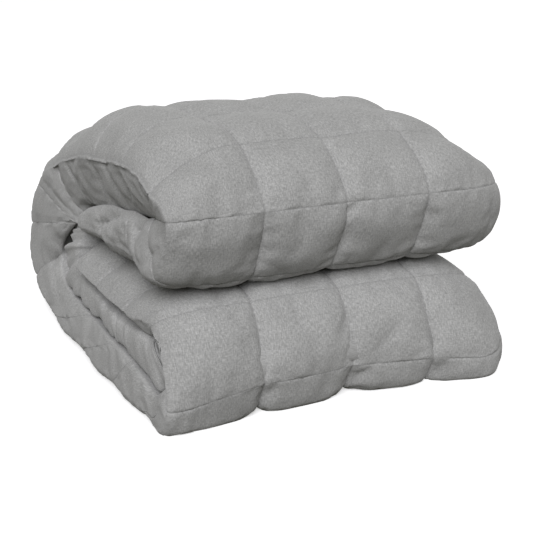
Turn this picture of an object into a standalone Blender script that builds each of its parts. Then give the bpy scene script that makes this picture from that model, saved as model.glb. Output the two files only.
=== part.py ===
"""A quilted weighted blanket, folded in thirds across its width and then book-folded along its
length. It lies on its lower leaf, with both front folds at -Y and the single wide back fold at
+Y. The left end (-X) shows the cloth's folded edge and, low down, the hem of the flap that is
folded over last.

Metres, +Z up. The origin is at the centre of the blanket's footprint, on the surface below.
"""

import math
from collections import namedtuple

import bmesh
import bpy

# The blanket's make: sewn squares of 100 mm, seam to seam, each sampled at these shares.
STEPS = (0.0, 0.12, 0.37, 0.63, 0.88)

# The folded cloth across its width. Long seams 1, 2 and 3 run over the middle of the stack,
# seam 0 along the rim of the left end and seam 4 along the right end.
RIM = 0.004
LONG_SEAM_X = (-0.0935, 0.0015, 0.1040, 0.2030)
ROUNDING = 1.8          # of the stack's ends: 1 is a straight bevel, 2 a quarter circle
NOSE_TUCK = 0.020       # how far each rounded end reaches in on its inner side
END_DIP = 0.5           # the long seams at the two ends are this much shallower
END_SHARE = 0.45        # of the squares' height is left where they turn over a folded end
HEM_GAP = 0.003         # between the flap's hem and the fold beside it
POCKET_END_X = 0.118    # where the space under the last flap ends, inside the right fold

# One row for each cross seam, from the end of the upper inner leaf to that of the lower one.
# seam: its number, 0 being the seam along the front of the upper fold
# out, inner: (y, z) of the cloth's outer face and of its innermost face at that seam
# body, flap: shares of the thickness at which the outer two plies end and the flap starts
# left, right: each folded end as (x it reaches, share of the thickness where it reaches it,
#     width of its rounding over the outer face)
# hem: the x of the flap's hem at the left end
# tuck: share of the thickness that the left fold covers beside the flap's hem
# slide: how far the seam runs ahead at the left end, in squares
# sway: how far long seams 2, 3 and 4 lie to the right of their places on the top
# lift: how much higher the outer and the innermost face lie at the left end
# shift: (y, z) of how far the outer face moves towards the right end
# long_dip: depth of the long seams; rise: height of the squares between the cross seams
Fold = namedtuple(
    "Fold", "seam out inner body flap left right hem tuck slide sway lift shift long_dip rise"
)
FLAT_END = (0.2175, 0.90, 0.120)
ROUND_END = (0.2150, 0.55, 0.060)
STILL = (0.0, 0.0)
FOLDS = (
    Fold(-4, (0.054, 0.151), (0.056, 0.2120), .68, .72, (-.200, .45, .03), ROUND_END,
         -.160, .97, .0, .000, (-.026, -.036), STILL, .004, .004),
    Fold(-3, (-0.050, 0.149), (-0.048, 0.2145), .68, .72, (-.200, .45, .03), ROUND_END,
         -.160, .97, .0, .000, (-.010, -.024), STILL, .005, .004),
    Fold(-2, (-0.155, 0.1455), (-0.145, 0.2145), .68, .72, (-.201, .45, .04), ROUND_END,
         -.160, .97, .0, .000, (-.004, -.010), STILL, .007, .005),
    Fold(-1, (-0.255, 0.1590), (-0.196, 0.2140), .68, .72, (-.202, .40, .08), (.228, .65, .07),
         -.160, .97, .0, .000, (.004, .0), (-.004, .0), .011, .015),
    Fold(0, (-0.268, 0.225), (-0.200, 0.2165), .68, .72, (-.198, .22, .06), (.226, .62, .07),
         -.160, .97, .0, .000, STILL, (-.006, .0), .008, .006),
    Fold(1, (-0.211, 0.286), (-0.195, 0.2190), .68, .72, (-.201, .50, .09), (.219, .85, .100),
         -.160, .97, .4, .000, STILL, STILL, .007, .005),
    Fold(2, (-0.114, 0.3025), (-0.112, 0.2190), .70, .73, (-.203, .56, .09), FLAT_END,
         -.160, .97, .4, .000, (.0, -.012), STILL, .006, .005),
    Fold(3, (-0.015, 0.3050), (-0.018, 0.2180), .70, .73, (-.204, .60, .09), FLAT_END,
         -.160, .97, .4, .000, (-.004, -.029), STILL, .006, .004),
    Fold(4, (0.083, 0.2825), (0.048, 0.2150), .68, .73, (-.205, .56, .09), FLAT_END,
         -.160, .97, .3, .000, (-.006, -.035), STILL, .007, .005),
    Fold(5, (0.173, 0.2430), (0.061, 0.1980), .68, .73, (-.206, .40, .08), (.2175, .80, .107),
         -.162, .97, .2, .000, (-.005, -.024), STILL, .008, .006),
    Fold(6, (0.245, 0.1785), (0.061, 0.1660), .68, .73, (-.208, .25, .07), (.2175, .60, .107),
         -.164, .97, .1, .000, STILL, STILL, .008, .006),
    Fold(7, (0.282, 0.1080), (0.062, 0.1310), .68, .74, (-.210, .18, .06), (.2175, .50, .107),
         -.166, .92, .0, .000, STILL, STILL, .008, .006),
    Fold(8, (0.264, 0.0260), (0.062, 0.1020), .61, .70, (-.213, .18, .05), (.2185, .40, .090),
         -.172, .62, .0, .000, STILL, STILL, .008, .010),
    Fold(9, (0.128, -0.003), (0.052, 0.0900), .52, .58, (-.217, .20, .05), (.2200, .35, .070),
         -.206, .54, .0, .000, STILL, STILL, .008, .006),
    Fold(10, (0.008, -0.003), (0.010, 0.0860), .52, .56, (-.220, .20, .04), (.2220, .35, .060),
         -.209, .53, .0, .004, STILL, (-.005, .0), .008, .006),
    Fold(11, (-0.103, -0.003), (-0.085, 0.0835), .53, .57, (-.220, .20, .04), (.2225, .35, .060),
         -.209, .54, .0, .008, STILL, (-.012, .0), .008, .006),
    Fold(12, (-0.204, -0.003), (-0.165, 0.0825), .57, .61, (-.214, .16, .03), (.2290, .30, .045),
         -.207, .58, .0, .012, STILL, (-.036, .0), .010, .024),
    Fold(13, (-0.268, 0.036), (-0.197, 0.0820), .68, .72, (-.206, .22, .04), (.2310, .38, .050),
         -.200, .68, .0, .013, (-.020, .0), (-.024, -.016), .010, .016),
    Fold(14, (-0.243, 0.1265), (-0.191, 0.0875), .68, .72, (-.199, .45, .08), (.2220, .80, .090),
         -.160, .97, .0, .012, (.004, .0), (-.006, -.004), .010, .002),
    Fold(15, (-0.150, 0.1325), (-0.142, 0.0885), .68, .72, (-.206, .45, .03), (.2180, .65, .080),
         -.160, .97, .0, .008, (-.006, .0), STILL, .006, .004),
    Fold(16, (-0.050, 0.1365), (-0.048, 0.0895), .68, .72, (-.206, .45, .03), ROUND_END,
         -.160, .97, .0, .004, (-.013, .0), STILL, .005, .004),
    Fold(17, (0.054, 0.1395), (0.052, 0.0940), .68, .72, (-.205, .45, .03), ROUND_END,
         -.160, .97, .0, .000, (-.029, -.006), STILL, .004, .004),
)
LEAF_END_TAPER = 0.55   # how much of its thickness a leaf keeps at its sewn end

CLOTH_GREY = (0.36, 0.36, 0.35, 1.0)


def blend(a, b, t):
    return a + (b - a) * t


def smooth_through(before, start, end, after, t):
    """A Catmull-Rom curve from start to end, at share t."""
    if isinstance(start, tuple):
        return tuple(smooth_through(*four, t) for four in zip(before, start, end, after))
    return 0.5 * (
        2 * start
        + (end - before) * t
        + (2 * before - 5 * start + 4 * end - after) * t**2
        + (3 * start - before - 3 * end + after) * t**3
    )


def fold_at(seam):
    """The row of FOLDS for any place along the cloth, in squares."""
    last = len(FOLDS) - 2
    row = min(max(int(math.floor(seam - FOLDS[0].seam)), 0), last)
    share = seam - FOLDS[row].seam
    near = FOLDS[max(row - 1, 0)], FOLDS[row], FOLDS[row + 1], FOLDS[min(row + 2, last + 1)]
    return Fold(*(smooth_through(*values, share) for values in zip(*near)))


def across(fold):
    """Places along the outer face from long seam 0 to 4, as (squares, x)."""
    seams = [fold.left[0] + RIM, LONG_SEAM_X[0]]
    seams += [x + fold.sway for x in LONG_SEAM_X[1:]]
    for square in range(len(seams) - 1):
        for step in STEPS:
            yield square + step, blend(seams[square], seams[square + 1], step)
    yield len(seams) - 1.0, seams[-1]


def shoulder(inward, width):
    """How far the outer face has turned in, from 0 where its rounding starts to 1 at the end."""
    reach = min(max(1 - inward / width, 0.0), 1.0)
    return 1 - (1 - reach**ROUNDING) ** (1 / ROUNDING)


def outline(fold):
    """The closed outline of the folded cloth at one cross section: (long seam place, x, depth).
    Depth is the share of the way from the outer face to the innermost one."""
    left_x, left_depth, left_width = fold.left
    right_x, right_depth, right_width = fold.right
    # where the fold covers the flap's hem, the hem stops short of it
    covered = min(max((fold.tuck - fold.flap) / 0.04 + 1, 0.0), 1.0)
    hem = blend(fold.hem, max(fold.hem, left_x + NOSE_TUCK + HEM_GAP), covered)
    for place, x in across(fold):
        left = shoulder(x - left_x, left_width)
        right = shoulder(right_x - x, right_width)
        yield place, x, left * left_depth + right * right_depth
    # round the right fold, which holds all three plies
    yield 4.1, right_x - 0.005, blend(shoulder(0.005, right_width), 1, 0.15) * right_depth
    for turn in (0, 35, 65):
        angle = math.radians(turn)
        depth = blend(right_depth, 1, math.sin(angle))
        yield 4.3, right_x - NOSE_TUCK * (1 - math.cos(angle)), depth
    # the innermost face, back to the flap's hem
    for x in (0.165, 0.08, -0.02, -0.11):
        yield None, x, 1.0
    yield None, hem + 0.005, 0.985
    yield None, hem, (fold.flap + 1) / 2
    yield None, hem + 0.005, fold.flap + 0.015
    # the space between the flap and the two outer plies
    yield None, -0.06, fold.flap
    yield None, POCKET_END_X, fold.flap
    yield None, POCKET_END_X, fold.body
    yield None, -0.06, fold.body
    mouth = max(hem - HEM_GAP, left_x + NOSE_TUCK)
    yield None, mouth + 0.003, fold.body
    yield None, mouth, fold.tuck
    # round the left fold, up to long seam 0
    for turn in (60, 35, 15, 0):
        angle = math.radians(turn)
        depth = blend(left_depth, fold.tuck, math.sin(angle))
        yield -0.4, left_x + NOSE_TUCK * (1 - math.cos(angle)), depth


def stations():
    """Places along the cloth, in squares, each square sampled as STEPS says."""
    for fold in FOLDS[:-1]:
        for step in STEPS:
            yield fold.seam + step
    yield FOLDS[-1].seam


def dip(share):
    """How far the cloth dips to a seam, 1 on the seam and 0 in the middle of a square."""
    return 1 - math.sqrt(abs(math.sin(math.pi * share)))


def leaf_end(seam):
    """How much of its thickness the cloth keeps here: the two leaves end in flat hems."""
    nearest = min(seam - FOLDS[0].seam, FOLDS[-1].seam - seam)
    return blend(LEAF_END_TAPER, 1.0, math.sin(min(nearest / 0.5, 1.0) * math.pi / 2))


def stand_at_origin(mesh):
    """Centres the blanket's footprint on the origin."""
    for axis in (0, 1):
        reach = [vert.co[axis] for vert in mesh.verts]
        middle = (min(reach) + max(reach)) / 2
        for vert in mesh.verts:
            vert.co[axis] -= middle


def build_blanket():
    mesh = bmesh.new()
    rings = []
    swells = []
    for seam in stations():
        fold = fold_at(seam)
        full = leaf_end(seam)
        ring = []
        for place, x, depth in outline(fold):
            reach = (LONG_SEAM_X[0] - x) / (LONG_SEAM_X[0] - fold.left[0])
            reach = min(max(reach, 0.0), 1.0) ** 1.5
            lead = (x - LONG_SEAM_X[1]) / (LONG_SEAM_X[3] - LONG_SEAM_X[1])
            lead = min(max(lead, 0.0), 1.0) ** 1.5 * (1 - depth)
            here = fold_at(seam - fold.slide * reach)
            share = max(depth, 0.0) ** 3
            depth = 0.5 + (depth - 0.5) * full
            y = blend(here.out[0], here.inner[0], depth) + fold.shift[0] * lead
            z = blend(here.out[1], here.inner[1], depth) + fold.shift[1] * lead
            z += blend(fold.lift[0], fold.lift[1], depth) * reach
            ring.append(mesh.verts.new((x, y, z)))
            if place is None:
                continue
            from_end = min(max(min(place, 4 - place) / 0.5, 0.0), 1.0)
            rise = fold.rise * blend(END_SHARE, 1, from_end)
            swell = rise * (1 - dip(seam)) * (1 - share)
            if 0 <= place <= 4:
                swell -= fold.long_dip * dip(place) * (1 if 0 < place < 4 else END_DIP)
            swells.append((ring[-1], swell))
        rings.append(ring)
    for ring, following in zip(rings, rings[1:]):
        for i in range(len(ring)):
            j = (i + 1) % len(ring)
            mesh.faces.new((ring[i], ring[j], following[j], following[i]))
    mesh.faces.new(rings[0])
    mesh.faces.new(reversed(rings[-1]))
    bmesh.ops.recalc_face_normals(mesh, faces=mesh.faces)
    mesh.normal_update()
    moves = [(vert, vert.normal * swell) for vert, swell in swells]
    for vert, move in moves:
        vert.co += move
    for vert in mesh.verts:
        vert.co.z = max(vert.co.z, 0.0)
    stand_at_origin(mesh)
    bmesh.ops.triangulate(mesh, faces=mesh.faces)
    data = bpy.data.meshes.new("blanket")
    mesh.to_mesh(data)
    mesh.free()
    return data


def cloth_material():
    material = bpy.data.materials.new("grey woven cloth")
    material.use_nodes = True
    shader = material.node_tree.nodes["Principled BSDF"]
    shader.inputs["Base Color"].default_value = CLOTH_GREY
    shader.inputs["Roughness"].default_value = 0.9
    return material


def main():
    for obj in list(bpy.data.objects):
        bpy.data.objects.remove(obj)
    blanket = bpy.data.objects.new("blanket", build_blanket())
    blanket.data.materials.append(cloth_material())
    blanket.data.shade_smooth()
    bpy.context.scene.collection.objects.link(blanket)


main()
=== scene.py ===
import math
from collections import namedtuple

import bmesh
import bpy
import numpy as np
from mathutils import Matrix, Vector, noise


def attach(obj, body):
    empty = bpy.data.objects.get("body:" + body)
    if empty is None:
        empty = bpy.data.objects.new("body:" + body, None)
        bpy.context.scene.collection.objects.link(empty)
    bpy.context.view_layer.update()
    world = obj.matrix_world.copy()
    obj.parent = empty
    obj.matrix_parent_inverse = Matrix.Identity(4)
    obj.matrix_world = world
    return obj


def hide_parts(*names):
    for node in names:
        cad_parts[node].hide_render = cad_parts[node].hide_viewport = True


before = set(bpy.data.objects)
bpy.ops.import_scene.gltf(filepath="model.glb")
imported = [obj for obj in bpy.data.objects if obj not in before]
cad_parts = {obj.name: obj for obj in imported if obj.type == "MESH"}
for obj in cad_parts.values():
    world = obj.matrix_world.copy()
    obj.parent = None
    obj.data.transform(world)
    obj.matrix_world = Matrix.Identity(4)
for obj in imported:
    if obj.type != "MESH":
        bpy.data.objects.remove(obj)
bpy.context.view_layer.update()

# The folded cloth: one quilted blanket of two brushed grey faces with filling between them. It is
# folded in thirds across its width, so that its left end shows a folded edge over the hem of the
# last flap, and then book-folded along its length with both front folds one over the other.
SQUARE = 0.100              # from seam to seam
LONG_SEAM_X = (-0.0935, 0.0015, 0.1040, 0.2030)
RIM = namedtuple("Rim", "soft crisp")(0.004, 0.0012)    # from the left end to its long seam
ROUNDING = 1.8              # of the folded ends: 1 is a straight bevel, 2 a quarter circle
CRISP = 0.975               # of the rounding is left where a rim keeps an edge
END_EASE = 1.5              # how gently the left end's lift and the right end's shift set in
RIGHT_CURL = 0.020          # how far the right end reaches in on its inner side
RIGHT_STRIP = 0.3           # of place 4 to 5 lies before the right end's turn
INNER_FACE_X = (0.18, 0.14, 0.10, 0.06, 0.02, -0.02, -0.06, -0.09, -0.115)
HEM_GAP = 0.003             # between the flap's hem and the fold beside it
HEM_ROUND = 0.009           # how far the middle of the hem stands out
HEM_DEPTH = 1.02            # of the thickness, down to which the hem reaches
HEM_COVER = 0.04            # of the thickness, over which the left end comes to cover the hem
POCKET_X = (0.118, -0.02, -0.10)
POCKET_MOUTH_X = -0.14
LEAF_TAPER = namedtuple("LeafTaper", "share along least")(0.55, 0.5, 0.15)
LEAF_END_ROUND = 0.16       # of a square, over which each leaf's end rounds off
LEAF_CORNER = namedtuple("LeafCorner", "back along side")(0.016, 0.25, 0.045)
FOOTPRINT_MIDDLE = Vector((0.0078, -0.0017, 0.0))

# One row for each cross seam, from the end of the upper inner leaf to that of the lower one.
# seam: its number, 0 being the seam along the front of the upper fold
# out, inner: (y, z) of the cloth's outer face and of its innermost face at that seam
# body, flap: shares of the thickness at which the outer two plies end and the flap starts
# left, right: each folded end as (x it reaches, share of the thickness where it reaches it,
#     width of its rounding over the outer face)
# hem: the x of the flap's hem at the left end
# curl, tuck: how far the left end reaches in on its inner side, and at what share of the thickness
# slide, lean: how far the seam runs ahead at the left end, and falls back where that end turns in,
#     in squares
# sway: how far long seams 2, 3 and 4 lie to the right of their places on the top
# lift: how much higher the outer and the innermost face lie at the left end
# shift: (y, z) of how far the outer face moves towards the right end
# long_dip: depth of the long seams; rise: height of the squares between the cross seams
# rim: how crisp the left end's edge is, 1 at most
Fold = namedtuple(
    "Fold",
    "seam out inner body flap left right hem curl tuck slide lean sway lift shift long_dip rise rim",
)
FLAT_END = (0.2170, 0.95, 0.130)
ROUND_END = (0.2150, 0.55, 0.060)
STILL = (0.0, 0.0)
FOLDS = (
    Fold(-4, (0.054, 0.151), (0.056, 0.2120), .68, .72, (-.200, .25, .03), ROUND_END,
         -.160, .014, .97, .0, .0, .000, (-.010, -.050), STILL, .004, .004, .0),
    Fold(-3, (-0.050, 0.149), (-0.048, 0.2145), .68, .72, (-.200, .25, .03), ROUND_END,
         -.160, .014, .97, .0, .0, .000, (.000, -.019), STILL, .005, .004, .0),
    Fold(-2, (-0.155, 0.1455), (-0.145, 0.2145), .68, .72, (-.200, .25, .03), ROUND_END,
         -.160, .016, .97, .0, .0, .000, (.005, -.006), STILL, .007, .004, .0),
    Fold(-1, (-0.237, 0.1475), (-0.192, 0.2140), .68, .72, (-.200, .14, .03), (.237, .46, .05),
         -.160, .020, .97, .0, .0, .000, (.006, .0), (-.004, .0), .007, .005, .0),
    Fold(0, (-0.268, 0.225), (-0.200, 0.2165), .68, .72, (-.197, .12, .03), (.227, .68, .09),
         -.160, .024, .97, .0, .0, .000, STILL, (-.006, .0), .006, .002, .1),
    Fold(1, (-0.211, 0.286), (-0.195, 0.2190), .68, .72, (-.201, .38, .09), (.2165, .92, .135),
         -.160, .030, .97, .4, .0, .000, (.0, -.016), (.004, .005), .008, .004, .7),
    Fold(2, (-0.114, 0.3025), (-0.112, 0.2190), .70, .73, (-.203, .41, .08), FLAT_END,
         -.160, .036, .97, .4, .0, .000, (.0, -.036), (.0, .004), .009, .004, .8),
    Fold(3, (-0.015, 0.3035), (-0.018, 0.2180), .70, .73, (-.204, .42, .08), FLAT_END,
         -.160, .038, .97, .4, .0, .000, (-.009, -.060), (.0, .002), .006, .003, .8),
    Fold(4, (0.083, 0.2750), (0.048, 0.2150), .68, .73, (-.205, .41, .08), FLAT_END,
         -.160, .038, .97, .3, .0, .000, (-.011, -.072), STILL, .003, .003, .8),
    Fold(5, (0.173, 0.2400), (0.061, 0.1980), .68, .73, (-.206, .38, .08), (.2175, .80, .107),
         -.162, .034, .97, .2, .0, .000, (-.006, -.066), STILL, .002, .003, .7),
    Fold(6, (0.245, 0.1785), (0.061, 0.1660), .68, .73, (-.208, .25, .07), (.2175, .60, .107),
         -.164, .028, .97, .1, .0, .000, (.0, -.030), STILL, .003, .004, .2),
    Fold(7, (0.282, 0.1080), (0.062, 0.1480), .68, .74, (-.210, .18, .06), (.2175, .50, .107),
         -.178, .022, .92, .0, -.1, .000, STILL, STILL, .007, .006, .0),
    Fold(8, (0.264, 0.0260), (0.062, 0.1100), .61, .70, (-.213, .18, .05), (.2185, .40, .090),
         -.198, .018, .62, .0, -.25, .000, STILL, STILL, .007, .008, .0),
    Fold(9, (0.128, -0.003), (0.052, 0.0900), .62, .67, (-.217, .20, .05), (.2200, .35, .070),
         -.206, .014, .64, .0, 1.2, .000, STILL, STILL, .008, .004, .0),
    Fold(10, (0.008, -0.003), (0.010, 0.0860), .64, .68, (-.218, .20, .04), (.2220, .35, .060),
         -.208, .012, .65, -.25, .95, .004, STILL, (-.005, .0), .008, .004, .0),
    Fold(11, (-0.103, -0.003), (-0.085, 0.0835), .60, .64, (-.215, .20, .04), (.2225, .35, .060),
         -.206, .012, .61, -.25, .5, .008, STILL, (-.012, .0), .008, .005, .0),
    Fold(12, (-0.204, -0.003), (-0.165, 0.0825), .26, .30, (-.208, .16, .03), (.2260, .32, .050),
         -.195, .012, .27, -.15, .85, .012, STILL, (-.034, .0), .014, .003, .0),
    Fold(13, (-0.268, 0.0405), (-0.197, 0.0820), .24, .29, (-.202, .10, .03), (.2270, .40, .055),
         -.184, .012, .25, .0, .0, .013, (-.013, .0), (-.024, -.016), .010, .002, .0),
    Fold(14, (-0.233, 0.1225), (-0.189, 0.0875), .68, .72, (-.198, .50, .06), (.2190, .85, .110),
         -.160, .018, .97, .0, .0, .012, (.002, -.009), (-.006, -.004), .007, .003, .3),
    Fold(15, (-0.150, 0.1325), (-0.142, 0.0885), .68, .72, (-.205, .66, .075), (.2150, .75, .100),
         -.160, .018, .97, .0, .0, .008, (-.004, .0), STILL, .006, .004, .8),
    Fold(16, (-0.050, 0.1365), (-0.048, 0.0895), .68, .72, (-.206, .61, .07), ROUND_END,
         -.160, .018, .97, .0, .0, .004, (-.010, .0), STILL, .005, .004, .8),
    Fold(17, (0.058, 0.1395), (0.056, 0.0940), .68, .72, (-.206, .48, .06), ROUND_END,
         -.160, .018, .97, .0, .0, .000, (-.016, -.002), STILL, .004, .004, .6),
)
# The upper fold's front is nearly flat down to its lower edge, and the lower fold rests on the
# floor with a rounded edge, just under its last seam.
Edge = namedtuple("Edge", "seam reach out")
EDGES = Edge(-0.55, 0.28, (0.006, -0.002)), Edge(12.5, 0.28, (-0.005, -0.015))
# At the lower front corner the last flap's hem shows between the two faces of the fold.
CORNER = namedtuple("Corner", "seam reach tuck flap curl")(13.3, 0.45, 0.80, 0.70, 0.65)
HALF_SQUARE = (0.0, 0.012, 0.03, 0.06, 0.10, 0.145, 0.19, 0.24, 0.29, 0.34, 0.39, 0.445)
STEPS = HALF_SQUARE + (0.5,) + tuple(1 - step for step in reversed(HALF_SQUARE[1:]))


def blend(a, b, t):
    return a + (b - a) * t


def smooth_through(before, start, end, after, t):
    """A Catmull-Rom curve from start to end, at share t."""
    if isinstance(start, tuple):
        return tuple(smooth_through(*four, t) for four in zip(before, start, end, after))
    return 0.5 * (
        2 * start
        + (end - before) * t
        + (2 * before - 5 * start + 4 * end - after) * t**2
        + (3 * start - before - 3 * end + after) * t**3
    )


def at_corner(seam):
    """1 at the lower front corner, falling to 0 away from it."""
    return math.exp(-(((seam - CORNER.seam) / CORNER.reach) ** 2))


def fold_at(seam):
    """The row of FOLDS for any place along the cloth, in squares."""
    last = len(FOLDS) - 2
    row = min(max(int(math.floor(seam - FOLDS[0].seam)), 0), last)
    share = seam - FOLDS[row].seam
    near = FOLDS[max(row - 1, 0)], FOLDS[row], FOLDS[row + 1], FOLDS[min(row + 2, last + 1)]
    fold = Fold(*(smooth_through(*values, share) for values in zip(*near)))
    open_here = at_corner(seam)
    out = fold.out
    for edge in EDGES:
        share = math.exp(-(((seam - edge.seam) / edge.reach) ** 2))
        out = tuple(a + b * share for a, b in zip(out, edge.out))
    return fold._replace(
        out=out,
        tuck=fold.tuck * (1 - CORNER.tuck * open_here),
        body=fold.body * (1 - CORNER.tuck * open_here),
        flap=fold.flap * (1 - CORNER.flap * open_here),
        rim=max(fold.rim, 0.0),
    )


def shoulder(inward, width, crisp=0.0):
    """How far the outer face has turned in, from 0 where its rounding starts to 1 at the end."""
    share = blend(1.0, CRISP, crisp)
    reach = min(max(1 - inward / width, 0.0), 1.0) * share
    whole = 1 - (1 - share**ROUNDING) ** (1 / ROUNDING)
    return (1 - (1 - reach**ROUNDING) ** (1 / ROUNDING)) / whole


def section(fold):
    """The closed outline of the folded cloth at one cross section: (place, x, depth). Place runs
    0 to 4 over the outer face, 4 to 5 round the right end and 0 to -1 round the left end, and is
    6 on the innermost face, 7 on the hem and 8 in the pocket. Depth is the share of the way from
    the outer face to the innermost one."""
    left_x, left_depth, left_width = fold.left
    right_x, right_depth, right_width = fold.right
    curl = fold.curl * (1 - CORNER.curl * at_corner(fold.seam))
    covered = min(max((fold.tuck - fold.flap) / HEM_COVER + 1, 0.0), 1.0)
    hem = blend(fold.hem, max(fold.hem, left_x + curl + HEM_GAP), covered)
    rim = blend(RIM.soft, RIM.crisp, fold.rim)
    seams = [left_x + rim, LONG_SEAM_X[0]]
    seams += [x + fold.sway for x in LONG_SEAM_X[1:]]
    for square in range(4):
        for step in STEPS:
            x = blend(seams[square], seams[square + 1], step)
            left = shoulder(x - left_x, left_width, fold.rim) * left_depth
            yield square + step, x, left + shoulder(right_x - x, right_width) * right_depth
    for step in (0.0, 0.15, 0.3, 0.5, 0.7, 0.85, 0.95):
        x = blend(seams[4], right_x, step)
        yield 4 + RIGHT_STRIP * step, x, shoulder(right_x - x, right_width) * right_depth
    for turn in range(0, 90, 8):
        angle = math.radians(turn)
        x = right_x - RIGHT_CURL * (1 - math.cos(angle))
        in_turn = blend(RIGHT_STRIP, 1, math.sin(angle))
        yield 4 + in_turn, x, blend(right_depth, 1, math.sin(angle))
    for x in INNER_FACE_X:
        yield 6, x, 1.0
    middle, half = (fold.flap + HEM_DEPTH) / 2, (1.0 - fold.flap) / 2
    for turn in range(80, -81, -16):
        angle = math.radians(turn)
        yield 7, hem + HEM_ROUND * (1 - math.sqrt(math.cos(angle))), middle + half * math.sin(angle)
    mouth = max(hem - HEM_GAP, left_x + curl)
    for x in reversed(POCKET_X):
        yield 8, x, fold.flap
    for x in (*POCKET_X, POCKET_MOUTH_X, mouth + HEM_GAP):
        yield 8, x, fold.body
    for turn in range(88, -1, -4):
        angle = math.radians(turn)
        x = left_x + curl * blend(1 - math.cos(angle), turn / 90, fold.rim)
        yield -math.sin(angle), x, blend(left_depth, fold.tuck, math.sin(angle))
    for inward in (0.1 * rim, 0.3 * rim, 0.6 * rim):
        yield -0.001, left_x + inward, shoulder(inward, left_width, fold.rim) * left_depth


def stations():
    """Places along the cloth, in squares, each square sampled as STEPS says."""
    for fold in FOLDS[:-1]:
        for step in STEPS:
            yield fold.seam + step
    yield FOLDS[-1].seam


def to_leaf_end(seam):
    """Squares to the end of the nearer inner leaf."""
    return min(seam - FOLDS[0].seam, FOLDS[-1].seam - seam)


def leaf_corner(seam, x, fold):
    """How far the two rounded corners of a leaf's end stay back from its straight edge."""
    inward = min(x - fold.left[0], fold.right[0] - x)
    beside = min(max(1 - inward / LEAF_CORNER.side, 0.0), 1.0) ** 2
    return LEAF_CORNER.back * beside * math.exp(-((to_leaf_end(seam) / LEAF_CORNER.along) ** 2))


def leaf_end(seam):
    """How much of its thickness the cloth keeps here: the two leaves end in rounded hems."""
    nearest = to_leaf_end(seam)
    rounded = math.sqrt(1 - max(1 - nearest / LEAF_END_ROUND, 0.0) ** 2)
    along = min(nearest / LEAF_TAPER.along, 1.0)
    tapered = blend(LEAF_TAPER.share, 1.0, math.sin(along * math.pi / 2))
    return tapered * max(rounded, LEAF_TAPER.least)


def folded_section(seam):
    """One cross section in its folded place: a list of (place, depth, point)."""
    fold = fold_at(seam)
    full = leaf_end(seam)
    points = []
    for place, x, depth in section(fold):
        reach = (LONG_SEAM_X[0] - x) / (LONG_SEAM_X[0] - fold.left[0])
        reach = min(max(reach, 0.0), 1.0) ** END_EASE
        lead = (x - LONG_SEAM_X[1]) / (LONG_SEAM_X[3] - LONG_SEAM_X[1])
        lead = min(max(lead, 0.0), 1.0) ** END_EASE * (1 - depth)
        turned = -place if place < 0 else float(place > 6)
        moved = fold.lean * turned - fold.slide * reach
        here = fold_at(seam + moved) if moved else fold
        thin = 0.5 + (depth - 0.5) * full
        y = blend(here.out[0], here.inner[0], thin) + fold.shift[0] * lead
        y -= leaf_corner(seam, x, fold)
        z = blend(here.out[1], here.inner[1], thin) + fold.shift[1] * lead
        z += blend(fold.lift[0], fold.lift[1], thin**2) * reach
        points.append((place, depth, Vector((x, y, z))))
    return fold, points


# A grid of faces, its columns round the cross section and its rows along the cloth, takes these
# points, and is closed where its first and last columns meet and at the two leaves' ends.
rows = [(seam, *folded_section(seam)) for seam in stations()]
around = len(rows[0][2])
cloth = bmesh.new()
cloth_uv = cloth.loops.layers.uv.new("cloth")
# Painted shade: 1 on the seams, where the material darkens the cloth as if shaded in their folds.
painted_seam_shade = cloth.verts.layers.float.new("painted_seam_shade")
bmesh.ops.create_grid(cloth, x_segments=around, y_segments=len(rows) - 1, size=1)
grid = {}
for vert in cloth.verts:
    column = round((vert.co.x + 1) / 2 * around)
    row = round((vert.co.y + 1) / 2 * (len(rows) - 1))
    grid[column, row] = vert
middle = 2 * len(STEPS)
for row, (seam, fold, points) in enumerate(rows):
    run = [0.0]
    for column in range(around):
        run.append(run[-1] + (points[(column + 1) % around][2] - points[column][2]).length)
    for column in range(around + 1):
        vert = grid[column, row]
        vert.co = points[column % around][2]
        for loop in vert.link_loops:
            loop[cloth_uv].uv = (run[column] - run[middle], seam * SQUARE)
kept = [(column, row) for column in range(around) for row in range(len(rows))]
bmesh.ops.weld_verts(
    cloth, targetmap={grid[around, row]: grid[0, row] for row in range(len(rows))}
)
bmesh.ops.holes_fill(cloth, edges=[edge for edge in cloth.edges if edge.is_boundary], sides=0)
bmesh.ops.triangulate(cloth, faces=[face for face in cloth.faces if len(face.verts) > 4])
bmesh.ops.recalc_face_normals(cloth, faces=cloth.faces)
cloth.normal_update()
# The points are worked on in the mesh's own order, which the simulation's weights follow.
cloth.verts.index_update()
kept.sort(key=lambda spot: grid[spot].index)

# Its quilting: straight seams through all of the cloth, 10 cm apart both ways. The filling rounds
# each square up between its seams, and the thread draws the cloth into a fine groove with small
# puckers beside it.
END_TURN = 0.5              # squares from each folded end, over which it turns
END_SHARE = 0.45            # of the squares' height is left where they turn over a folded end
END_DIP = 0.15              # of the long seams' depth is left at the two ends
CROSSING_DIP = 0.25         # of the long seams' depth is left where a cross seam meets them
FLANK = 1.4                 # how steeply a narrow trough or a crease comes up from its middle
TROUGH = namedtuple("Trough", "wide narrow share")(0.021, 0.0060, 0.55)
GROOVE = namedtuple("Groove", "depth half_width")(0.0009, 0.0014)
SEAM_SHADE = namedtuple("SeamShade", "half_width end")(0.0009, 3.5)
RIM_SEAM = namedtuple("RimSeam", "middle reach full")(2.7, 1.8, 1.6)
PUCKER = namedtuple("Pucker", "height reach spacing")(0.0007, 0.009, 0.012)
SOFTNESS = namedtuple("Softness", "height spacing edge end")(0.0022, 0.060, 0.03, 3)
RUFFLE = namedtuple("Ruffle", "height spacing across start flat fall least")(
    0.0060, 0.016, 2.5, 7.2, 11.2, 2, 0.35
)
# How far apart in the noise the seams and their two sides are read, so that no two are alike.
APART = namedtuple("Apart", "cross long long_start side")(3.7, 5.1, 40, 2.3)
NOISE_SPAN = 1.6

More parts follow.
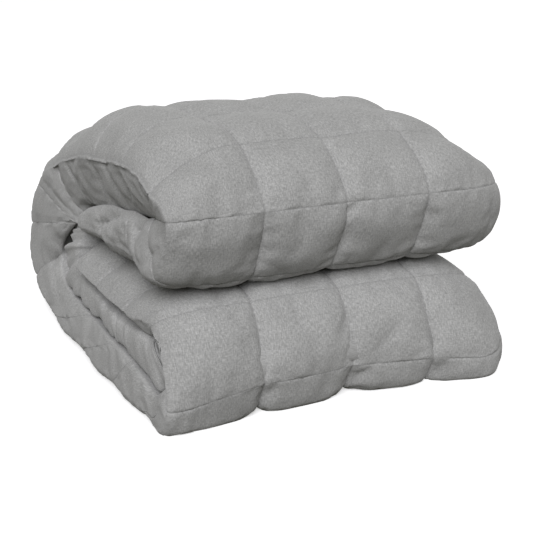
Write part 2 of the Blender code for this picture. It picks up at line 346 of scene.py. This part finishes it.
Crease = namedtuple("Crease", "depth half_width way")    # a ridge's depth is below zero
CREASES = (
    # Gathers on the upper lobe's end, from its rim down.
    Crease(.0045, .009, ((-.05, 5.40), (-.12, 4.90), (-.05, 4.40))),
    Crease(.0050, .006, ((-.05, 4.20), (-.50, 4.00))),
    Crease(-.0040, .006, ((-.05, 3.65), (-.30, 3.60), (-.80, 3.60))),
    Crease(.0060, .006, ((-.05, 3.10), (-.30, 3.00), (-.75, 2.80))),
    Crease(.0060, .006, ((-.05, 2.65), (-.30, 2.43), (-.80, 2.20))),
    Crease(-.0040, .006, ((-.05, 2.10), (-.35, 1.75), (-.60, 1.30))),
    Crease(.0045, .006, ((-.20, 2.10), (-.50, 1.75), (-.70, 1.35))),
    Crease(.0030, .006, ((-.05, 1.55), (-.35, 1.20), (-.60, .80))),
    # Round the back fold's end.
    Crease(.0050, .012, ((.00, 5.80), (-.55, 5.70), (-.90, 5.50))),
    Crease(.0040, .006, ((-.70, 6.85), (-.95, 7.00))),
    Crease(.0080, .008, ((-.60, 8.05), (-1.0, 8.00))),
    Crease(-.0030, .005, ((-.85, 8.70), (-.45, 8.95))),
    Crease(.0040, .006, ((-.70, 8.50), (-.30, 8.80))),
    # The upper inner leaf's end, gathered into three soft lobes over its hem.
    Crease(.0090, .007, ((-.90, -2.35), (-.60, -2.75), (-.30, -3.00), (-.03, -2.95))),
    Crease(.0090, .007, ((-.95, -1.35), (-.65, -1.75), (-.40, -1.75), (-.15, -1.60))),
    Crease(-.0040, .010, ((-.90, -1.85), (-.50, -2.35), (-.20, -2.45))),
    Crease(-.0035, .005, ((-.10, -.25), (-.30, -.55), (-.27, -1.00))),
    Crease(.0060, .006, ((-.10, -.25), (-.30, -.75), (-.35, -1.05), (-.15, -1.20))),
    Crease(.0035, .004, ((-.20, -3.50), (-.07, -2.90), (-.07, -2.30), (-.09, -1.60), (-.26, -1.05))),
    # The lower inner leaf's end and the pocket at its front corner.
    Crease(-.0025, .004, ((-.12, 14.30), (.02, 14.16), (.20, 14.10))),
    Crease(-.0020, .004, ((-.10, 15.10), (.14, 15.00), (.30, 14.97))),
    Crease(.0060, .006, ((.00, 13.75), (-.35, 13.50))),
    # Soft folds down the right end.
    Crease(.0050, .009, ((4.30, 3.40), (3.75, 3.35), (3.30, 3.20))),
    Crease(.0040, .008, ((4.30, 4.60), (3.80, 4.55), (3.45, 4.40))),
    Crease(.0060, .009, ((4.30, 5.55), (3.70, 5.50), (3.25, 5.60))),
    Crease(.0050, .009, ((4.30, 6.60), (3.80, 6.55), (3.40, 6.70))),
    Crease(.0040, .008, ((4.30, 7.50), (3.85, 7.55), (3.60, 7.45))),
    Crease(.0045, .008, ((4.30, 9.60), (3.80, 9.50), (3.50, 9.30))),
    Crease(.0050, .007, ((4.30, 15.40), (3.85, 15.35), (3.50, 15.50))),
    Crease(.0050, .007, ((4.30, -2.40), (3.85, -2.35), (3.50, -2.55))),
    # Small pulls beside the seams of the upper face.
    Crease(.0030, .006, ((.90, .42), (.98, .26))),
    Crease(.0020, .006, ((1.50, .34), (1.62, .20))),
    Crease(.0028, .006, ((1.84, .26), (1.96, .10))),
    Crease(.0035, .009, ((1.37, -.04), (1.42, -.20), (1.56, -.36))),
    Crease(.0030, .007, ((2.00, -.04), (2.05, -.22))),
    Crease(.0030, .007, ((3.03, -.18), (3.09, -.42))),
    # Soft pulls on the lower face, above and below its last seam.
    Crease(.0045, .006, ((2.02, 13.66), (1.87, 13.38))),
    Crease(.0035, .010, ((2.12, 13.08), (2.35, 13.28), (2.66, 13.50))),
    Crease(.0022, .007, ((1.50, 13.52), (1.60, 13.30))),
    Crease(.0030, .008, ((1.02, 12.66), (1.14, 12.95))),
    Crease(.0035, .008, ((2.03, 12.64), (2.22, 12.95))),
    Crease(.0028, .008, ((3.04, 12.66), (3.20, 12.94))),
)
CREASE_END = 0.15           # of a crease's depth is left at its two ends
END_LENGTH = 0.045          # of cloth over the rounded left end, from place 0 to -1

place = np.array([rows[row][2][column][0] for column, row in kept], float)
depth = np.array([rows[row][2][column][1] for column, row in kept], float)
seam = np.array([rows[row][0] for column, row in kept], float)
rise = np.array([rows[row][1].rise for column, row in kept], float)
long_dip = np.array([rows[row][1].long_dip for column, row in kept], float)


def to_seam(share):
    """Metres to the nearest seam."""
    return np.abs(share - np.round(share)) * SQUARE


def crown(share):
    """How far the filling rounds a square up, 0 at its seams and 1 in its middle."""
    return np.abs(np.sin(np.pi * share)) ** 0.9


def trough(gap):
    """How far the cloth is drawn in at this distance from a long seam."""
    wide, narrow = np.exp(-((gap / TROUGH.wide) ** 2)), np.exp(-((gap / TROUGH.narrow) ** FLANK))
    return wide + (narrow - wide) * TROUGH.share


def ripple(*coordinates):
    """Smooth unevenness between about -1 and 1."""
    return np.array([noise.noise(Vector(spot)) for spot in zip(*coordinates)]) * NOISE_SPAN


def pressed(crease):
    """Its depth at every point, full in the middle of its way and fading at the ends."""
    spot_x, spot_y = np.where(place < 0, place * END_LENGTH, place * SQUARE), seam * SQUARE
    way = [(x * (END_LENGTH if x < 0 else SQUARE), y * SQUARE) for x, y in crease.way]
    legs = [math.dist(a, b) for a, b in zip(way, way[1:])]
    gap, run = np.full(place.shape, np.inf), np.zeros(place.shape)
    for number, ((ax, ay), (bx, by)) in enumerate(zip(way, way[1:])):
        leg = legs[number]
        share = ((spot_x - ax) * (bx - ax) + (spot_y - ay) * (by - ay)) / leg**2
        share = np.clip(share, 0, 1)
        away = np.hypot(spot_x - ax - share * (bx - ax), spot_y - ay - share * (by - ay))
        run = np.where(away < gap, (sum(legs[:number]) + share * leg) / sum(legs), run)
        gap = np.minimum(gap, away)
    fading = CREASE_END + (1 - CREASE_END) * np.sin(np.pi * run)
    return crease.depth * np.exp(-((gap / crease.half_width) ** FLANK)) * fading


quilted = place <= 5
over_top = (place >= 0) & (place <= 4)
edge = np.clip(np.minimum(place, 4 - place) / END_TURN, 0, 1)
across_gap, along_gap = to_seam(seam), to_seam(place)
swell = rise * (END_SHARE + (1 - END_SHARE) * edge) * crown(seam) * (1 - np.clip(depth, 0, 1) ** 3)
on_rim = np.clip(RIM_SEAM.full - np.abs(seam - RIM_SEAM.middle) / RIM_SEAM.reach, 0, 1)
inner_seam = END_DIP + (1 - END_DIP) * edge
near_left = np.maximum(on_rim, np.clip(place / END_TURN, 0, 1))
inner_seam *= np.where(place < END_TURN, near_left, 1)
between = CROSSING_DIP + (1 - CROSSING_DIP) * crown(seam) ** 0.7
swell -= np.where(over_top, long_dip * trough(along_gap) * inner_seam * between, 0)
swell -= GROOVE.depth * np.exp(-((across_gap / GROOVE.half_width) ** 2))
sewn = np.where(place < END_TURN, on_rim, 1) * over_top
swell -= sewn * GROOVE.depth * np.exp(-((along_gap / GROOVE.half_width) ** 2))
side = np.sign(seam - np.round(seam))
fine = ripple(place * SQUARE / PUCKER.spacing, np.round(seam) * APART.cross, side * APART.side)
near = across_gap / PUCKER.reach
swell += PUCKER.height * fine * near * np.exp(1 - near)
side = np.sign(place - np.round(place))
long_seam = np.round(place) * APART.long + APART.long_start
fine = ripple(seam * SQUARE / PUCKER.spacing, long_seam, side * APART.side)
near = along_gap / PUCKER.reach
swell += np.where(over_top, PUCKER.height * fine * near * np.exp(1 - near) * inner_seam, 0)
soft = ripple(place * SQUARE / SOFTNESS.spacing, seam * SQUARE / SOFTNESS.spacing, place * 0)
soft *= np.sqrt(np.clip(across_gap / SOFTNESS.edge, 0, 1))
swell += SOFTNESS.height * soft * np.exp(np.minimum(place, 0) * SOFTNESS.end)
swell -= sum(pressed(crease) for crease in CREASES)
ruffle = ripple(seam * SQUARE / RUFFLE.spacing, depth * RUFFLE.across, place * 0)
fade = np.clip((RUFFLE.flat - seam) / RUFFLE.fall, RUFFLE.least, 1) * (seam > RUFFLE.start)
swell = np.where(quilted, swell, np.where(place == 7, RUFFLE.height * ruffle * fade, 0))

# Painted shade along the cross seams and the sewn long seams, falling off within about a millimetre
# of each.
cross_seam_shade = quilted * np.exp(-((across_gap / SEAM_SHADE.half_width) ** 2))
long_seam_shade = sewn * (place < SEAM_SHADE.end) * np.exp(-((along_gap / SEAM_SHADE.half_width) ** 2))
seam_shade_mask = np.maximum(cross_seam_shade, long_seam_shade)
for (column, row), height, shaded_here in zip(kept, swell, seam_shade_mask):
    vert = grid[column, row]
    vert.co += vert.normal * float(height)
    vert[painted_seam_shade] = float(shaded_here)
for vert in cloth.verts:
    vert.co -= FOOTPRINT_MIDDLE
    vert.co.z = max(vert.co.z, 0.0)

blanket_mesh = bpy.data.meshes.new("quilted_cloth")
cloth.to_mesh(blanket_mesh)
cloth.free()
blanket_mesh.shade_smooth()
blanket = bpy.data.objects.new("quilted_cloth", blanket_mesh)
bpy.context.scene.collection.objects.link(blanket)

# Its puckers: the cloth is a little longer than the thread through it, so between its seams it
# settles into small folds of its own. A short cloth simulation finds them, held along the seams
# and wherever the cloth lies hidden.
SETTLE = namedtuple("Settle", "frames spare pressure held_width held_turn share cap")(
    13, 0.045, 1.5, 0.0022, -0.97, 0.60, 0.003
)


def settle(thing, held):
    """Lets the cloth settle, held as each point's weight says, and keeps a share of its moves."""
    mesh = thing.data
    sewn = thing.vertex_groups.new(name="sewn")
    weights = np.round(held, 1)
    for weight in np.unique(weights[weights > 0]):
        sewn.add(np.flatnonzero(weights == weight).tolist(), float(weight), "REPLACE")
    modifier = thing.modifiers.new("Cloth", "CLOTH")
    soft = modifier.settings
    soft.quality, soft.mass, soft.air_damping = 4, 0.15, 4
    soft.tension_stiffness = soft.compression_stiffness = 12
    soft.shear_stiffness, soft.bending_stiffness, soft.bending_damping = 4, 0.15, 0.5
    soft.tension_damping = soft.compression_damping = soft.shear_damping = 4
    soft.vertex_group_mass = "sewn"
    soft.use_pressure, soft.uniform_pressure_force = True, SETTLE.pressure
    soft.shrink_min = -SETTLE.spare
    soft.effector_weights.gravity = 0
    modifier.point_cache.frame_start, modifier.point_cache.frame_end = 1, SETTLE.frames
    for frame_number in range(1, SETTLE.frames + 1):
        bpy.context.scene.frame_set(frame_number)
    settled = thing.evaluated_get(bpy.context.evaluated_depsgraph_get()).to_mesh()
    start, end = np.empty((2, len(mesh.vertices) * 3))
    mesh.vertices.foreach_get("co", start)
    settled.vertices.foreach_get("co", end)
    moves = (end - start).reshape(-1, 3) * SETTLE.share
    length = np.linalg.norm(moves, axis=1, keepdims=True)
    moves *= SETTLE.cap / np.maximum(length, SETTLE.cap)
    places = start.reshape(-1, 3) + moves
    places[:, 2] = np.maximum(places[:, 2], 0)
    thing.modifiers.clear()
    thing.vertex_groups.clear()
    bpy.context.scene.frame_set(1)
    mesh.vertices.foreach_set("co", places.ravel())
    mesh.update()


stitched = np.exp(-((across_gap / SETTLE.held_width) ** 2))
lengthwise = np.where(over_top, np.exp(-((along_gap / SETTLE.held_width) ** 2)), 0)
hidden = (place > 5) | (place < SETTLE.held_turn)
settle(blanket, np.where(hidden, 1, np.maximum(stitched, lengthwise)))

# The cloth itself: a brushed mid-grey face of fine yarn, a little uneven in tone, with a short
# soft nap that lightens where it is seen at a low angle. The stitches are of the same grey; painted
# shade darkens the cloth along the seams, and painted sheen lies over it in broad light and dark
# patches.
CLOTH_GREY = (0.415, 0.416, 0.411)
SEAM_SHADE_TONE = 0.78            # of the cloth's lightness left by the painted shade in the seams' folds
YARN = namedtuple("Yarn", "to_metre stretch")(800, 0.30)
WARP_TONE = (0.78, 1.22)
WEFT_TONE = (0.86, 1.14)
# Painted sheen: broad light and dark patches at random over the cloth, where the brushed nap catches
# the light unevenly.
SHEEN_PATCHES = namedtuple("SheenPatches", "to_metre tone")(26, (0.95, 1.05))
brushed = bpy.data.materials.new("brushed grey cloth")
brushed.use_nodes = True
nodes = brushed.node_tree.nodes
links = brushed.node_tree.links
shader = nodes["Principled BSDF"]
shader.inputs["Roughness"].default_value = 0.95
shader.inputs["Specular IOR Level"].default_value = 0.15
shader.inputs["Sheen Weight"].default_value = 0.25
shader.inputs["Sheen Roughness"].default_value = 0.6
spot = nodes.new("ShaderNodeTexCoord")


def flecks(scale, detail, stretch=(1, 1, 1), source="Object"):
    """Soft noise over the cloth, this many to the metre."""
    turn = nodes.new("ShaderNodeMapping")
    turn.inputs["Scale"].default_value = stretch
    links.new(spot.outputs[source], turn.inputs["Vector"])
    made = nodes.new("ShaderNodeTexNoise")
    made.inputs["Scale"].default_value = scale
    made.inputs["Detail"].default_value = detail
    links.new(turn.outputs["Vector"], made.inputs["Vector"])
    return made.outputs["Fac"]


def levels(value, low, high, start=0.3, end=0.7):
    """Spreads a noise, or another value between start and end, over this range."""
    spread = nodes.new("ShaderNodeMapRange")
    spread.inputs["From Min"].default_value = start
    spread.inputs["From Max"].default_value = end
    spread.inputs["To Min"].default_value = low
    spread.inputs["To Max"].default_value = high
    links.new(value, spread.inputs["Value"])
    return spread.outputs["Result"]


def times(a, b):
    product = nodes.new("ShaderNodeMath")
    product.operation = "MULTIPLY"
    links.new(a, product.inputs[0])
    links.new(b, product.inputs[1])
    return product.outputs["Value"]


warp = flecks(YARN.to_metre, 2, (1, YARN.stretch, 1), "UV")
weft = flecks(YARN.to_metre, 2, (YARN.stretch, 1, 1), "UV")
yarn = times(warp, weft)
tone = times(levels(warp, *WARP_TONE), levels(weft, *WEFT_TONE))
# Painted sheen in broad patches over the yarn's own flecks.
tone = times(tone, levels(flecks(SHEEN_PATCHES.to_metre, 3), *SHEEN_PATCHES.tone))
# Painted shade: the grey darkens on the seams as if shaded in the folds that the thread makes.
seam_shade_value = nodes.new("ShaderNodeAttribute")
seam_shade_value.attribute_name = "painted_seam_shade"
tone = times(tone, levels(seam_shade_value.outputs["Fac"], 1.0, SEAM_SHADE_TONE, 0.0, 1.0))
grey = nodes.new("ShaderNodeVectorMath")
grey.operation = "SCALE"
grey.inputs[0].default_value = CLOTH_GREY
links.new(tone, grey.inputs["Scale"])
links.new(grey.outputs["Vector"], shader.inputs["Base Color"])
nap = nodes.new("ShaderNodeBump")
nap.inputs["Strength"].default_value = 0.45
nap.inputs["Distance"].default_value = 0.0012
links.new(yarn, nap.inputs["Height"])
links.new(nap.outputs["Normal"], shader.inputs["Normal"])
blanket_mesh.materials.append(brushed)
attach(blanket, "root")
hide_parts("blanket")

# The floor: a plain pale sheet that the blanket lies on.
floor_mesh = bmesh.new()
bmesh.ops.create_grid(floor_mesh, x_segments=1, y_segments=1, size=60)
floor_data = bpy.data.meshes.new("floor")
floor_mesh.to_mesh(floor_data)
floor_mesh.free()
floor = bpy.data.objects.new("floor", floor_data)
bpy.context.scene.collection.objects.link(floor)
pale = bpy.data.materials.new("pale floor")
pale.use_nodes = True
pale_face = pale.node_tree.nodes["Principled BSDF"]
pale_face.inputs["Base Color"].default_value = (0.97, 0.97, 0.98, 1)
pale_face.inputs["Roughness"].default_value = 0.9
pale_face.inputs["Emission Color"].default_value = (1, 1, 1, 1)
pale_face.inputs["Emission Strength"].default_value = 0.47
floor_data.materials.append(pale)
floor.visible_diffuse = False    # the room's light alone reaches the blanket from below

# The light: a soft sun from above the front left, a weak one from behind, and a dim room that
# shows white behind the floor's edge.
bpy.context.scene.view_settings.view_transform = "Standard"
ROOM = namedtuple("Room", "below above low high")(
    (0.035, 0.034, 0.018, 1), (0.16, 0.16, 0.145, 1), -0.15, 0.45
)


def soft_sun(name, energy, spread, tilt, turn, colour):
    light = bpy.data.lights.new(name, "SUN")
    light.energy = energy
    light.angle = math.radians(spread)
    light.color = colour
    stand = bpy.data.objects.new(name, light)
    stand.rotation_euler = (math.radians(tilt), 0, math.radians(turn))
    bpy.context.scene.collection.objects.link(stand)


soft_sun("front_light", energy=2.56, spread=36, tilt=53, turn=-31, colour=(1.0, 0.995, 1.02))
soft_sun("back_light", energy=1.25, spread=60, tilt=83, turn=149, colour=(1.0, 1.0, 1.0))
room = bpy.data.worlds.new("white room")
room.use_nodes = True
room_nodes = room.node_tree.nodes
room_links = room.node_tree.links
ray = room_nodes.new("ShaderNodeTexCoord")
height = room_nodes.new("ShaderNodeSeparateXYZ")
upward = room_nodes.new("ShaderNodeMapRange")
upward.inputs["From Min"].default_value = ROOM.low
upward.inputs["From Max"].default_value = ROOM.high
glow = room_nodes.new("ShaderNodeMix")
glow.data_type = "RGBA"
glow.inputs["A"].default_value = ROOM.below
glow.inputs["B"].default_value = ROOM.above
room_links.new(ray.outputs["Generated"], height.inputs["Vector"])
room_links.new(height.outputs["Z"], upward.inputs["Value"])
room_links.new(upward.outputs["Result"], glow.inputs["Factor"])
seen = room_nodes.new("ShaderNodeLightPath")
behind = room_nodes.new("ShaderNodeMix")
behind.data_type = "RGBA"
behind.inputs["B"].default_value = (1, 1, 1, 1)
room_links.new(seen.outputs["Is Camera Ray"], behind.inputs["Factor"])
room_links.new(glow.outputs["Result"], behind.inputs["A"])
room_links.new(behind.outputs["Result"], room_nodes["Background"].inputs["Color"])
bpy.context.scene.world = room

# The camera: at the height and distance that the seams of the photographed blanket give.
EYE_HEIGHT = 0.429
EYE = Vector((-1.1375 * EYE_HEIGHT, -2.405 * EYE_HEIGHT, EYE_HEIGHT)) - FOOTPRINT_MIDDLE
camera = bpy.data.objects.new("camera", bpy.data.cameras.new("camera"))
camera.data.sensor_width = 36
camera.data.lens = 60.65
camera.location = EYE
camera.rotation_euler = (math.radians(73.2), 0, math.radians(-27.3))
bpy.context.scene.collection.objects.link(camera)
bpy.context.scene.camera = camera
